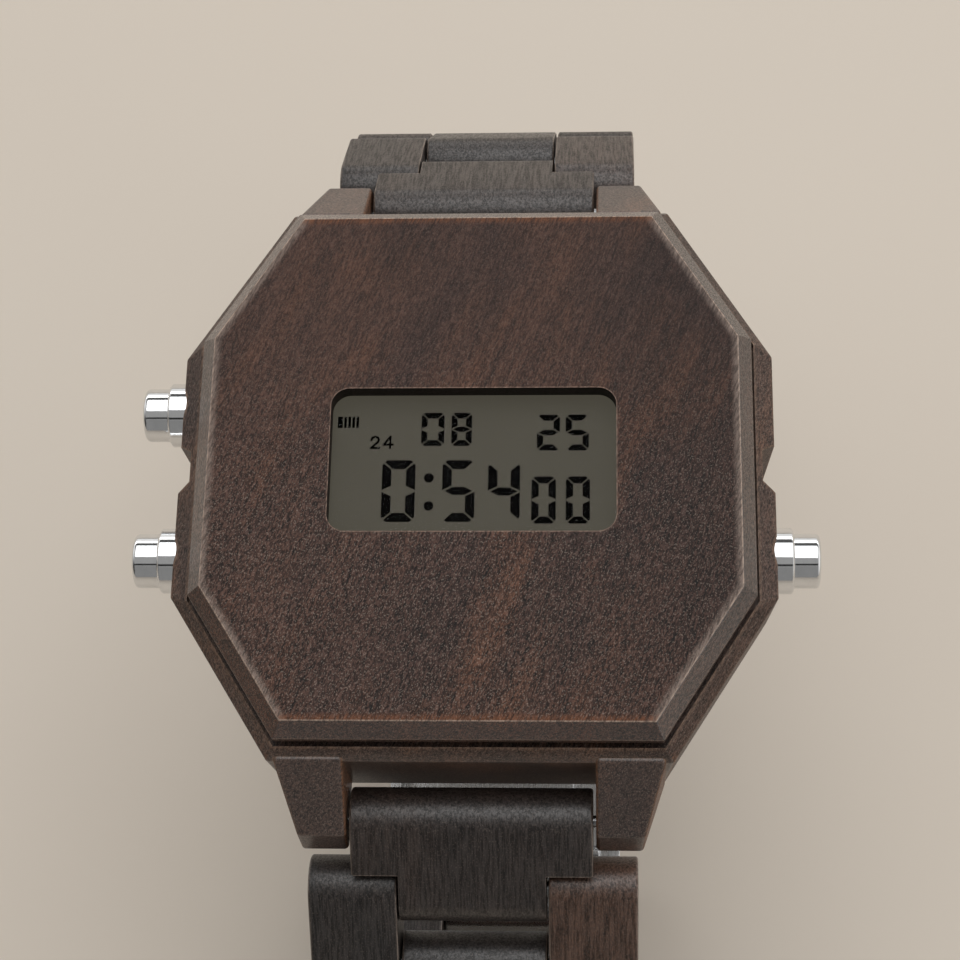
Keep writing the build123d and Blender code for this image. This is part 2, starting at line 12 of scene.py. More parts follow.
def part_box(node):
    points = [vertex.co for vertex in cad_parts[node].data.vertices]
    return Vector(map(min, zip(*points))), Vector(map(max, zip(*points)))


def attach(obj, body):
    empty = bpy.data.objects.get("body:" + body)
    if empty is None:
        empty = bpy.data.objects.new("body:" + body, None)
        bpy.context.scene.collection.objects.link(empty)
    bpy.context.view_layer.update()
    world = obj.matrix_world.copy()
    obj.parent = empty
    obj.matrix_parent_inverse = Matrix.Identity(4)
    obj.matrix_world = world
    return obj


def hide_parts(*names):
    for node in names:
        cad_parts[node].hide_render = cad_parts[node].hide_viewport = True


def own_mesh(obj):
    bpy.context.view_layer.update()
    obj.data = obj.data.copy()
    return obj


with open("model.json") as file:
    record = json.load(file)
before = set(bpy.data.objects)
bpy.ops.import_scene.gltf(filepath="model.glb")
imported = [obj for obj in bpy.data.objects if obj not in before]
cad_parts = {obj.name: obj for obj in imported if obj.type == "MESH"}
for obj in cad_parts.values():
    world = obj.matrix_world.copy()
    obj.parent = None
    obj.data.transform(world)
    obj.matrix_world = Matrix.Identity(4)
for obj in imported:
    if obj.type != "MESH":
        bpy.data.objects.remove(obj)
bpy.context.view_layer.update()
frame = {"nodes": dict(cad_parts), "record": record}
NODES = frame["nodes"]
RECORD = frame["record"]

MM = 0.001
NEAR = 0.01 * MM
FACE_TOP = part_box("front_case")[1].z
FACE_MIDDLE = Vector((0, 0, FACE_TOP))
DISPLAY_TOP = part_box("lcd_panel")[1].z
FACE_RING = [v.co for v in NODES["front_case"].data.vertices if v.co.z > FACE_TOP - NEAR]
FACE_HALF = max(abs(co.x) for co in FACE_RING)
FACE_EDGE = max(abs(co.y) for co in FACE_RING)


def corner_line():
    """The direction and the distance of the face's slanted corner edges."""
    side = max(abs(co.y) for co in FACE_RING if abs(co.x) > FACE_HALF - NEAR)
    end = max(abs(co.x) for co in FACE_RING if abs(co.y) > FACE_EDGE - NEAR)
    way = Vector((FACE_EDGE - side, FACE_HALF - end)).normalized()
    return Vector((way.x, way.y, way.x * end + way.y * FACE_EDGE))


CORNER = corner_line()


# Node trees

class Wire:
    """One output socket of a node tree. Arithmetic on wires adds Math nodes."""

    def __init__(self, tree, socket=None):
        self.tree = tree
        self.socket = socket

    def node(self, kind, settings=None, values=None, out=0):
        """Adds a node: its settings first, then the values or links of its sockets."""
        made = self.tree.nodes.new(kind)
        for name, value in (settings or {}).items():
            setattr(made, name, value)
        for key, value in (values or {}).items():
            for each in value if isinstance(value, list) else [value]:
                if isinstance(each, Wire):
                    self.tree.links.new(each.socket, made.inputs[key])
                else:
                    made.inputs[key].default_value = each
        return Wire(self.tree, made.outputs[out])

    def math(self, operation, *values):
        return self.node("ShaderNodeMath", {"operation": operation}, dict(enumerate(values)))

    def __add__(self, other):
        return self.math("ADD", self, other)

    __radd__ = __add__

    def __sub__(self, other):
        return self.math("SUBTRACT", self, other)

    def __rsub__(self, other):
        return self.math("SUBTRACT", other, self)

    def __mul__(self, other):
        return self.math("MULTIPLY", self, other)

    __rmul__ = __mul__

    def __gt__(self, other):
        return self.math("GREATER_THAN", self, other)

    def axis(self, name):
        """X, Y or Z of a vector."""
        return self.node("ShaderNodeSeparateXYZ", {}, {0: self}, out=name)

    def vector(self, x, y, z):
        return self.node("ShaderNodeCombineXYZ", {}, {0: x, 1: y, 2: z})

    def between(self, low, high):
        """0 below low, 1 above high and smooth in between."""
        settings = {"interpolation_type": "SMOOTHSTEP"}
        return self.node("ShaderNodeMapRange", settings, {0: self, 1: low, 2: high})

    def mix(self, first, second):
        """A colour from first to second by this wire."""
        values = {0: self, 6: first, 7: second}
        return self.node("ShaderNodeMix", {"data_type": "RGBA"}, values, out=2)

    def times(self, other):
        """This colour multiplied by a colour or a grey."""
        settings = {"data_type": "RGBA", "blend_type": "MULTIPLY"}
        return self.node("ShaderNodeMix", settings, {0: 1.0, 6: self, 7: other}, out=2)


def colour(red, green, blue):
    """A display colour, 0 to 255, as linear RGBA."""
    def linear(value):
        share = value / 255
        return share / 12.92 if share <= 0.04045 else ((share + 0.055) / 1.055) ** 2.4
    return (linear(red), linear(green), linear(blue), 1.0)


def shade(base, factor):
    return tuple(min(1.0, c * factor) for c in base[:3]) + (1.0,)


class Finish:
    """A material with one Principled shader, on Object coordinates or a piece's own attribute."""

    def __init__(self, name, attribute=None, **constants):
        self.material = bpy.data.materials.new(name)
        self.material.use_nodes = True
        self.tree = self.material.node_tree
        self.shader = self.tree.nodes["Principled BSDF"]
        for key, value in constants.items():
            self.shader.inputs[key.replace("_", " ")].default_value = value
        self.wire = Wire(self.tree)
        if attribute:
            self.place = self.attribute(attribute, "Vector")
        else:
            self.place = self.wire.node("ShaderNodeTexCoord", out="Object")

    def attribute(self, name, out):
        return self.wire.node("ShaderNodeAttribute", {"attribute_name": name}, out=out)

    def set(self, **links):
        for key, wire in links.items():
            self.tree.links.new(wire.socket, self.shader.inputs[key.replace("_", " ")])
        return self.material

    def noise(self, size, detail=2.0, rough=0.5, warp=0.0, turn=(0, 0, 0), shift=0.0):
        """Noise whose spots have the given size in millimetres along each turned axis."""
        scale = tuple(side * MM for side in size)
        start = (shift * MM, shift * MM, shift * MM)
        values = {"Vector": self.place, "Location": start, "Rotation": turn, "Scale": scale}
        spot = self.wire.node("ShaderNodeMapping", {"vector_type": "TEXTURE"}, values)
        values = {"Vector": spot, "Scale": 1.0}
        values.update({"Detail": detail, "Roughness": rough, "Distortion": warp})
        return self.wire.node("ShaderNodeTexNoise", {}, values)

    def bump(self, height, depth, under=None):
        """A bump of the given depth in millimetres."""
        values = {"Height": height, "Distance": depth * MM, "Strength": 1.0}
        if under:
            values["Normal"] = under
        return self.wire.node("ShaderNodeBump", {}, values)

    def rounded(self, radius):
        """A normal that turns softly over the edges."""
        return self.wire.node("ShaderNodeBevel", {"samples": 6}, {"Radius": radius * MM})

    def edges(self, radius):
        """Above 0 where the surface turns within a radius, 0 on the flats."""
        values = {0: self.rounded(radius), 1: self.facing()}
        settings = {"operation": "DOT_PRODUCT"}
        return 1 - self.wire.node("ShaderNodeVectorMath", settings, values, out="Value")

    def facing(self):
        """The way the surface itself faces."""
        return self.wire.node("ShaderNodeNewGeometry", out="True Normal")


# Materials: sizes of the wood's figure in millimetres, along its grain in the middle

PATCH = (6, 22, 6)
GLOW = (5, 16, 5)
STREAK = (0.6, 9, 0.6)
SPECK = (0.12, 0.32, 0.12)
# The next size is for painted glints, pale dots that stand in for sparkling highlights
PAINTED_GLINT = (0.085, 0.13, 0.085)
FIBRE_WIDE = 0.16
CASE_FIBRE = 1.1
STRAP_FIBRE = 2.4
CASE_GRAIN = (0, 0, math.radians(-21))
STRAP_GRAIN = (0, 0, 0)
# The colour of the painted glints
PAINTED_GLINT_TINT = colour(152, 138, 127)

# The face's edge band for painted highlights and a brown stain; the window walls' room for painted
# shade
EDGE_BAND = 0.6 * MM
WINDOW_X = (13 * MM, 14 * MM)
WINDOW_Y = (8 * MM, 9 * MM)
LUG_FROM = (FACE_EDGE + 1.2 * MM, FACE_EDGE + 2 * MM)


class Wood(Finish):
    """Fine stained wood, oiled and matte, with its grain along the turned Y axis."""

    def __init__(self, name, shades, turn, fibre, attribute=None, **constants):
        super().__init__(name, attribute, Specular_IOR_Level=0.2, **constants)
        dark, middle, warm = shades
        long = (FIBRE_WIDE, fibre, FIBRE_WIDE)
        patches = self.noise(PATCH, 2.0, 0.5, 0.4, turn).between(0.32, 0.68)
        glow = self.noise(GLOW, 2.0, 0.5, 0.4, turn, shift=31).between(0.44, 0.8)
        self.streaks = self.noise(STREAK, 3.0, 0.6, 0.2, turn).between(0.34, 0.66)
        self.fibres = self.noise(long, 3.0, 0.7, 0.0, turn).between(0.38, 0.62)
        self.specks = self.noise(SPECK, 2.0, 0.7, 0.0, turn, shift=7).between(0.42, 0.62)
        # Painted glints: pale dots standing in for sparkling highlights
        self.painted_glints = self.noise(PAINTED_GLINT, 0.0, 0.5, 0.0, turn, shift=19).between(0.6, 0.74)
        self.base = (glow * (0.5 + 0.35 * self.streaks)).mix(patches.mix(dark, middle), warm)
        self.aside = self.wire.math("ABSOLUTE", self.facing().axis("X"))
        self.along = self.wire.math("ABSOLUTE", self.place.axis("Y"))

    def stain_and_painted_light(self, mask, tint):
        """Tints where the mask is 1: real stains and tone, and painted highlights, glints and
        shade.
        """
        self.base = mask.mix(self.base, tint)

    def grained(self, low, fibres, specks, painted_glints):
        """Darkens and lightens the wood by its fibres and specks, then paints pale glints as
        highlights.
        """
        grey = low + 0.25 * self.streaks + fibres * self.fibres + specks * self.specks
        self.base = self.base.times(grey)
        self.stain_and_painted_light(painted_glints * self.painted_glints, PAINTED_GLINT_TINT)

    def done(self, rough, depth, **links):
        normal = self.bump(self.specks * 0.7 + self.fibres * 0.4, depth)
        return self.set(Base_Color=self.base, Roughness=rough, Normal=normal, **links)


def face_wood():
    """The front plate: lacquered slopes, brown stained ends, and painted highlights, glints and
    window shade.
    """
    shades = (colour(59, 43, 38), colour(73, 52, 44), colour(93, 62, 46))
    lacquer = {"Coat_Roughness": 0.22, "Coat_IOR": 2.0}
    finish = Wood("face_wood", shades, CASE_GRAIN, CASE_FIBRE, **lacquer)
    facing = finish.facing()
    rise = facing.axis("Z")
    slope = rise.between(0.35, 0.5) * (1 - rise.between(0.85, 0.97))
    flat = rise.between(0.97, 0.99)
    crisp = 1 - finish.place.axis("Y").between(-6 * MM, 12 * MM)
    finish.grained(0.34 - 0.3 * crisp, 0.55, 0.5 + 0.68 * crisp, 0.1 + 0.32 * crisp)
    # Painted shade: the face grows darker towards its right side
    finish.base = finish.base.times(1 - 0.16 * finish.place.axis("X").between(2 * MM, 15 * MM))
    finish.base = slope.mix(finish.base, finish.base.times((0.88, 0.66, 0.54, 1.0)))
    patchy = 0.35 + 0.65 * finish.fibres
    aside = finish.wire.math("ABSOLUTE", finish.place.axis("X"))
    outward = aside * CORNER.x + finish.along * CORNER.y
    corner = outward.between(CORNER.z - EDGE_BAND, CORNER.z)
    side = aside.between(FACE_HALF - EDGE_BAND, FACE_HALF)
    ends = finish.along.between(FACE_EDGE - EDGE_BAND, FACE_EDGE - EDGE_BAND / 6)
    # Painted highlights: pale along the face's sides and slanted corners
    painted_edge_highlight = finish.wire.math("MAXIMUM", side, corner)
    finish.stain_and_painted_light(painted_edge_highlight * flat * patchy * 0.8, colour(146, 130, 120))
    finish.stain_and_painted_light(ends * flat * (0.15 + 0.5 * finish.fibres), colour(122, 74, 45))
    # Painted highlights: pale on the rounded rim, the steep lips and round the display window
    rim = rise.between(0.7, 0.84) * (1 - rise.between(0.975, 0.998))
    lip = rise.between(0.05, 0.2) * (1 - rise.between(0.5, 0.6))
    window_edge = finish.edges(0.18).between(0.02, 0.15)
    finish.stain_and_painted_light(rim * patchy * 0.75, colour(190, 166, 148))
    finish.stain_and_painted_light(lip * patchy * 0.6, colour(150, 130, 116))
    finish.stain_and_painted_light(window_edge * flat * patchy * 0.7, colour(196, 164, 146))
    # Painted shade: the display window's walls are painted near black
    inside = (1 - aside.between(*WINDOW_X)) * (1 - finish.along.between(*WINDOW_Y))
    finish.stain_and_painted_light(inside * (1 - rise.between(0.02, 0.1)) * 0.85, colour(14, 12, 11))
    rough = 0.5 - 0.12 * finish.specks - 0.16 * slope
    # Painted shade: less lacquer on the slope of the lower left corner, to make it darker
    lower_left = (facing.axis("X") * -CORNER.x - facing.axis("Y") * CORNER.y).between(0.71, 0.76)
    coat = slope * (0.75 + 0.25 * finish.specks) * (1 - 0.75 * lower_left)
    return finish.done(rough, 0.035, Coat_Weight=coat)


def body_wood():
    """The case middle and lugs: a little browner on its sides, with painted edge highlights and
    glints.
    """
    shades = (colour(62, 49, 44), colour(78, 60, 52), colour(96, 68, 52))
    lacquer = {"Coat_Roughness": 0.3, "Coat_IOR": 1.7}
    finish = Wood("body_wood", shades, CASE_GRAIN, CASE_FIBRE, **lacquer)
    brown = finish.aside.between(0.55, 0.9) * (0.15 + 0.3 * finish.streaks)
    finish.stain_and_painted_light(brown, colour(94, 68, 52))
    finish.grained(0.2, 0.6, 1.0, 0.3)
    lug = finish.along.between(*LUG_FROM)
    flank = finish.aside.between(0.4, 0.7)
    finish.stain_and_painted_light(lug * flank * (0.2 + 0.6 * finish.specks), colour(122, 82, 55))
    # Painted highlights: pale colour along the edges, where light catches
    painted_edge_highlight = finish.edges(0.3).between(0.01, 0.06) * (0.3 + 0.7 * finish.fibres)
    finish.stain_and_painted_light(painted_edge_highlight * 0.6, colour(158, 128, 106))
    coat = 0.1 + 0.6 * lug * (1 - flank)
    return finish.done(0.5 - 0.1 * finish.specks, 0.03, Coat_Weight=coat)


def strap_wood():
    """Bracelet links: darker, with long fibres along the strap, painted edge highlights and glints.
    """
    shades = (colour(26, 22, 21), colour(34, 29, 27), colour(46, 36, 31))
    lacquer = {"Coat_Roughness": 0.4, "Coat_IOR": 1.8}
    finish = Wood("strap_wood", shades, STRAP_GRAIN, STRAP_FIBRE, "grain", **lacquer)
    finish.stain_and_painted_light(finish.attribute("tone", "Fac") * 0.75, colour(88, 61, 46))
    finish.grained(0.2, 0.75, 0.5, 0.15)
    # Painted highlights: pale colour on the links' rounded sides and along their edges
    rounds = finish.aside.between(0.2, 0.45) * (1 - finish.aside.between(0.75, 0.95))
    painted_edge_highlight = finish.wire.math("MAXIMUM", rounds, finish.edges(0.14).between(0.1, 0.3))
    finish.stain_and_painted_light(painted_edge_highlight * (0.3 + 0.4 * finish.fibres), colour(140, 124, 112))
    coat = 0.3 + 0.4 * finish.fibres
    return finish.done(0.5 - 0.1 * finish.specks, 0.02, Coat_Weight=coat)


def plain(name, base, rough, spots, depth=0.004, **constants):
    """A moulded or machined finish: one shade with fine mottling."""
    finish = Finish(name, **constants)
    mottle = finish.noise((spots, spots, spots), 3.0, 0.6)
    even = mottle.mix(shade(base, 0.9), shade(base, 1.1))
    normal = finish.bump(mottle, depth, finish.rounded(0.12))
    return finish.set(Base_Color=even, Roughness=rough - 0.03 + 0.06 * mottle, Normal=normal)


def brushed(name, base, lines):
    """Brushed steel, with its lines along the longest of the given sizes."""
    finish = Finish(name, Metallic=1.0)
    brush = finish.noise(lines, 2.0, 0.6)
    tone = brush.mix(shade(base, 0.92), base)
    normal = finish.bump(brush, 0.004, finish.rounded(0.15))
    return finish.set(Base_Color=tone, Roughness=0.2 + 0.16 * brush, Normal=normal)


def display():
    """Olive grey display glass, with a painted glow that evens out the shade on it."""
    finish = Finish("display_grey", Specular_IOR_Level=0.05, Emission_Strength=1.0)
    cloud = finish.noise((5, 5, 5))
    base = cloud.mix(colour(36, 34, 30), colour(39, 37, 33))
    # Painted glow: the display gives off light, though it is no lamp
    lit = cloud.mix(colour(72, 69, 60), colour(75, 72, 63))
    return finish.set(Base_Color=base, Roughness=0.45 + 0.06 * cloud, Emission_Color=lit)


def segment_ink():
    finish = Finish("display_black", Specular_IOR_Level=0.0)
    cloud = finish.noise((0.6, 0.6, 0.6))
    base = cloud.mix(colour(3, 3, 3), colour(6, 5, 5))
    return finish.set(Base_Color=base, Roughness=0.5 + 0.1 * cloud)


def window_glass():
    finish = Finish("window_glass", Roughness=0.03, Alpha=0.04, Specular_IOR_Level=0.25)
    haze = finish.noise((3, 3, 3))
    return finish.set(Base_Color=haze.mix(colour(10, 10, 10), colour(14, 14, 13)))


case_wood = body_wood()
lid_wood = face_wood()
link_wood = strap_wood()
chrome = plain("chrome", colour(228, 229, 230), 0.07, 0.8, 0.0003, Metallic=1.0)
steel = brushed("steel", colour(200, 201, 202), (0.08, 6, 0.08))
rubber = plain("black_rubber", colour(28, 28, 28), 0.7, 0.4)
moulding = plain("black_moulding", colour(36, 36, 38), 0.5, 0.4)
board = plain("board_green", colour(30, 88, 58), 0.45, 0.6)
film = plain("pale_film", colour(214, 218, 208), 0.5, 1.0)
brass = plain("brass", colour(205, 172, 110), 0.3, 0.5, Metallic=1.0)
display_grey = display()
display_black = segment_ink()
glass = window_glass()

SLOT_FINISH = {
    "case_wood": case_wood, "bracelet_wood": link_wood, "window_glass": glass, "lcd": display_grey,
    "black_rubber": rubber, "frame_plastic": moulding, "board": board, "film": film,
    "buzzer_brass": brass, "polished_steel": chrome, "steel": steel,
}
OWN_FINISH = {"front_case": lid_wood, "button_sleeves": chrome}

for part in RECORD["subparts"]:
    mesh = NODES[part["node"]].data
    mesh.materials.clear()
    mesh.materials.append(OWN_FINISH.get(part["node"]) or SLOT_FINISH[part["material_slot"]])


# Shapes from node trees

def shape_tree(name, inputs):
    """A new Geometry Nodes tree with named inputs, its wire, and a function that asks for one."""
    tree = bpy.data.node_groups.new(name, "GeometryNodeTree")
    for label, kind in inputs.items():
        tree.interface.new_socket(name=label, in_out="INPUT", socket_type="NodeSocket" + kind)
    tree.interface.new_socket(name="Shape", in_out="OUTPUT", socket_type="NodeSocketGeometry")
    given = tree.nodes.new("NodeGroupInput")

    def asked(label):
        return Wire(tree, given.outputs[label])

    return tree, Wire(tree), asked


def close_tree(tree, shape, material):
    """Ends a tree with real geometry in one material."""
    shape = shape.node("GeometryNodeRealizeInstances", {}, {0: shape})
    values = {"Geometry": shape, "Material": material}
    shape = shape.node("GeometryNodeSetMaterial", {}, values)
    end = tree.nodes.new("NodeGroupOutput")
    tree.links.new(shape.socket, end.inputs[0])
    return tree


def grown(name, tree, inputs):
    """A plain mesh object from a node tree with the given inputs."""
    holder = bpy.data.objects.new(name, bpy.data.meshes.new(name))
    bpy.context.scene.collection.objects.link(holder)
    modifier = holder.modifiers.new("shape", "NODES")
    modifier.node_group = tree
    for item in tree.interface.items_tree:
        if item.in_out == "INPUT":
            modifier[item.identifier] = inputs[item.name]
    seen = holder.evaluated_get(bpy.context.evaluated_depsgraph_get())
    mesh = bpy.data.meshes.new_from_object(seen)
    holder.modifiers.clear()
    holder.data = mesh
    return holder


# Bracelet links

EDGE_STEPS = 3
AROUND = 72
BORE_AROUND = 40
BORE_SPARE = MM
SCOOP_LONG = 20 * MM
CRISP = math.radians(35)
SEED_STEP = Vector((0.031, 0.047, 0.013))
LINK_INPUTS = {
    "Length": "Float", "Thickness": "Float", "Inside": "Float", "Outside": "Float", "Edge": "Float",
    "First Bore": "Float", "Second Bore": "Float", "Second Bore End": "Float", "Scoop": "Float",
    "Scoop From": "Float", "Pair": "Bool", "Slope": "Float", "Pivot": "Vector", "Turn": "Float",
    "Seed": "Int", "Material": "Material",
}


def link_tree():
    """A link rounded over its two pivots, or a left and right pair, bored and set in its place."""
    tree, wire, asked = shape_tree("bracelet_link", LINK_INPUTS)

    # A tube of rings becomes a stadium with rounded rims: rings run across the link, turns round it
    rings = 2 * EDGE_STEPS + 1
    values = {"Vertices": AROUND, "Side Segments": rings, "Radius": 1.0, "Depth": 1.0}
    tube = wire.node("GeometryNodeMeshCylinder", {"fill_type": "NGON"}, values, out="Mesh")
    spot = wire.node("GeometryNodeInputPosition")
    step = (spot.axis("Z") + 0.5) * rings
    quarter = math.pi / 2 / EDGE_STEPS
    first = wire.math("MINIMUM", step, EDGE_STEPS) * quarter
    last = wire.math("MAXIMUM", step - (EDGE_STEPS + 1), 0.0) * quarter
    edge = asked("Edge")
    flat = asked("Outside") - asked("Inside") - 2 * edge
    across = asked("Inside") + edge * (1 - wire.math("COSINE", first))
    across = across + (step > EDGE_STEPS + 0.5) * flat + edge * wire.math("SINE", last)
    inset = edge * (2 - wire.math("SINE", first) - wire.math("COSINE", last))
    radius = asked("Thickness") * 0.5 - inset
    along = radius * spot.axis("X") + (spot.axis("X") > -0.0001) * asked("Length")
    outward = radius * spot.axis("Y")
    values = {"Geometry": tube, "Position": wire.vector(across, along, outward)}
    solid = wire.node("GeometryNodeSetPosition", {}, values)

    def bore(size, start, end, place):
        values = {"Vertices": BORE_AROUND, "Radius": size, "Depth": end - start}
        drill = wire.node("GeometryNodeMeshCylinder", {"fill_type": "NGON"}, values, out="Mesh")
        middle = wire.vector((start + end) * 0.5, place, 0.0)
        values = {"Geometry": drill, "Translation": middle, "Rotation": (0, math.pi / 2, 0)}
        return wire.node("GeometryNodeTransform", {}, values)

    before = asked("Inside") - BORE_SPARE
    beyond = asked("Outside") + BORE_SPARE
    scoop_from = asked("Scoop From")
    cutters = [
        bore(asked("First Bore"), before, beyond, 0.0),
        bore(asked("Second Bore"), before, asked("Second Bore End"), asked("Length")),
        bore(asked("Scoop"), scoop_from, scoop_from + SCOOP_LONG, asked("Length")),
        bore(asked("Scoop"), -SCOOP_LONG - scoop_from, 0 - scoop_from, asked("Length")),
    ]
    settings = {"operation": "DIFFERENCE", "solver": "EXACT"}
    solid = wire.node("GeometryNodeMeshBoolean", settings, {"Mesh 1": solid, "Mesh 2": cutters})
    other = wire.node("GeometryNodeTransform", {}, {"Geometry": solid, "Scale": (-1, 1, 1)})
    other = wire.node("GeometryNodeFlipFaces", {}, {0: other})
    pair = wire.node("GeometryNodeJoinGeometry", {}, {0: [solid, other]})
    values = {"Switch": asked("Pair"), "False": solid, "True": pair}
    solid = wire.node("GeometryNodeSwitch", {"input_type": "GEOMETRY"}, values)

    # The grain and the tone are kept in the link's own directions
    spot = wire.node("GeometryNodeInputPosition")
    apart = wire.vector(*(asked("Seed") * step for step in SEED_STEP))
    grain = wire.node("ShaderNodeVectorMath", {"operation": "ADD"}, {0: spot, 1: apart})
    settings = {"data_type": "FLOAT_VECTOR", "domain": "POINT"}
    values = {"Geometry": solid, "Name": "grain", "Value": grain}
    solid = wire.node("GeometryNodeStoreNamedAttribute", settings, values)
    values = {"ID": (spot.axis("X") > 0.0) * asked("Pair"), "Seed": asked("Seed")}
    tone = wire.node("FunctionNodeRandomValue", {"data_type": "FLOAT"}, values, out=1)
    settings = {"data_type": "FLOAT", "domain": "POINT"}
    values = {"Geometry": solid, "Name": "tone", "Value": tone * tone}
    solid = wire.node("GeometryNodeStoreNamedAttribute", settings, values)

    solid = wire.node("GeometryNodeSetShadeSmooth", {"domain": "FACE"}, {"Geometry": solid})
    bend = wire.node("GeometryNodeInputMeshEdgeAngle", out="Unsigned Angle")
    values = {"Geometry": solid, "Selection": bend > CRISP, "Shade Smooth": False}
    solid = wire.node("GeometryNodeSetShadeSmooth", {"domain": "EDGE"}, values)
    tilt = wire.vector(0 - asked("Slope"), 0.0, 0.0)
    values = {"Geometry": solid, "Translation": asked("Pivot"), "Rotation": tilt}
    solid = wire.node("GeometryNodeTransform", {}, values)
    values = {"Geometry": solid, "Rotation": wire.vector(0.0, 0.0, asked("Turn"))}
    solid = wire.node("GeometryNodeTransform", {}, values)
    return close_tree(tree, solid, asked("Material"))


# Bores in millimetres: bracelet pins are held by the outer links and turn in the others
PIN_HELD = 0.62
PIN_FREE = 0.65
BAR_FREE = 0.8
BAR_TIP = 0.45
BAR_TIP_REACH = 1.3
SCOOP_ROOM = 0.85
LINK_EDGE = 0.18
ROWS = 5
FIRST_SEED = {"twelve": 16, "six": 57}


def pivot_of(body):
    joint = next(j for j in RECORD["behaviour"]["joints"] if j["child"] == body)
    return Vector(joint["pos_m"])


def inner_x(node):
    """The side of a pair's solids that faces the middle."""
    return min(abs(v.co.x) for v in NODES[node].data.vertices)


def bracelet():
    tree = link_tree()
    names = ["end_link"]
    for number in range(1, ROWS + 1):
        names.append(f"outer_links_{number}")
        if number < ROWS:
            names.append(f"center_link_{number}")
    closing = pivot_of("clasp_cover")
    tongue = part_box("center_link_twelve_1")[1].x
    for half, turn in (("twelve", 0.0), ("six", math.pi)):
        nodes = []
        for name in names:
            kind, _, number = name.rpartition("_") if name[-1].isdigit() else (name, "", "")
            nodes.append(f"{kind}_{half}_{number}" if number else f"{kind}_{half}")
        pivots = [pivot_of(node) for node in nodes] + [closing]
        for index, node in enumerate(nodes):
            start = Vector((0, abs(pivots[index].y), pivots[index].z))
            end = Vector((0, abs(pivots[index + 1].y), pivots[index + 1].z))
            run = end - start
            low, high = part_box(node)
            thick = high.y - low.y - abs(run.y)
            pair = node.startswith("outer")
            last = index == len(nodes) - 1
            made = grown(node + "_wood", tree, {
                "Length": run.length,
                "Thickness": thick,
                "Inside": inner_x(node) if pair else low.x,
                "Outside": high.x,
                "Edge": LINK_EDGE * MM,
                "First Bore": (BAR_FREE if index == 0 else PIN_HELD if pair else PIN_FREE) * MM,
                "Second Bore": (BAR_TIP if last else PIN_HELD if pair else PIN_FREE) * MM,
                "Second Bore End": tongue + BAR_TIP_REACH * MM if last else high.x + MM,
                "Scoop": thick / 2 + SCOOP_ROOM * MM,
                "Scoop From": tongue if index == 0 else high.x + MM,
                "Pair": pair,
                "Slope": math.atan2(-run.z, run.y),
                "Pivot": start,
                "Turn": turn,
                "Seed": index + FIRST_SEED[half],
                "Material": link_wood,
            })
            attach(made, node)
            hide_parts(node)


bracelet()


# Button springs, as coils of wire in place of the imported ones

SPRING_WIRE = 0.28 * MM
SPRING_TURNS = 4.0
TURN_STEPS = 24
WIRE_AROUND = 12
COIL_INPUTS = {
    "Radius": "Float", "Length": "Float", "Way": "Float", "Start": "Vector", "Material": "Material",
}


def coil_tree():
    """A coil of round wire along X, towards +X or -X by its way."""
    tree, wire, asked = shape_tree("button_coil", COIL_INPUTS)
    radius = asked("Radius")
    values = {"Resolution": TURN_STEPS, "Rotations": SPRING_TURNS, "Height": asked("Length")}
    values.update({"Start Radius": radius, "End Radius": radius})
    path = wire.node("GeometryNodeCurveSpiral", {}, values)
    values = {"Resolution": WIRE_AROUND, "Radius": SPRING_WIRE / 2}
    ring = wire.node("GeometryNodeCurvePrimitiveCircle", {}, values)
    values = {"Curve": path, "Profile Curve": ring, "Fill Caps": True}
    coil = wire.node("GeometryNodeCurveToMesh", {}, values)
    turn = wire.vector(0.0, asked("Way") * (math.pi / 2), 0.0)
    values = {"Geometry": coil, "Translation": asked("Start"), "Rotation": turn}
    coil = wire.node("GeometryNodeTransform", {}, values)
    return close_tree(tree, coil, asked("Material"))


def button_springs():
    tree = coil_tree()
    for joint in RECORD["behaviour"]["joints"]:
        if not joint["name"].endswith("_press"):
            continue
        node = joint["child"].replace("button_", "button_spring_")
        low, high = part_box(node)
        middle = (low + high) / 2
        way = 1.0 if middle.x > 0 else -1.0
        length = high.x - low.x
        inner = low.x if way > 0 else high.x
        made = grown(node + "_coil", tree, {
            "Radius": (high.y - low.y - SPRING_WIRE) / 2,
            "Length": length - SPRING_WIRE,
            "Way": way,
            "Start": Vector((inner + way * SPRING_WIRE / 2, middle.y, middle.z)),
            "Material": steel,
        })
        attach(made, "case")
        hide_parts(node)
        press = max(abs(limit) for limit in joint["range_m"])
        1 - press / length
        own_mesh(made)


button_springs()


# Display marks, in millimetres from the middle of the face

SEGMENTS = {"0": "abcdef", "2": "abged", "4": "fgbc", "5": "afgcd", "8": "abcdefg"}
INK_THICK = 0.03
INK_LIFT = 0.01

# Each digit with its left and lower end, its width and height, and its stroke
DIGITS = [
    ("0", -6.28, -3.72, 2.28, 4.48, 0.64),
    ("5", -2.15, -3.72, 2.22, 4.47, 0.64),
    ("4", 0.97, -3.73, 2.18, 4.4, 0.64),
    ("0", 3.93, -3.85, 1.66, 3.4, 0.5),
    ("0", 6.26, -3.85, 1.64, 3.4, 0.5),
    ("0", -3.68, 1.82, 1.58, 2.45, 0.42),
    ("8", -1.61, 1.82, 1.41, 2.45, 0.42),
    ("2", 4.26, 1.46, 1.58, 2.64, 0.44),
    ("5", 6.23, 1.46, 1.59, 2.64, 0.44),
]
DIGIT_GAP = 0.11
DIGIT_CUT = 0.28
DIGIT_BAR = 0.45

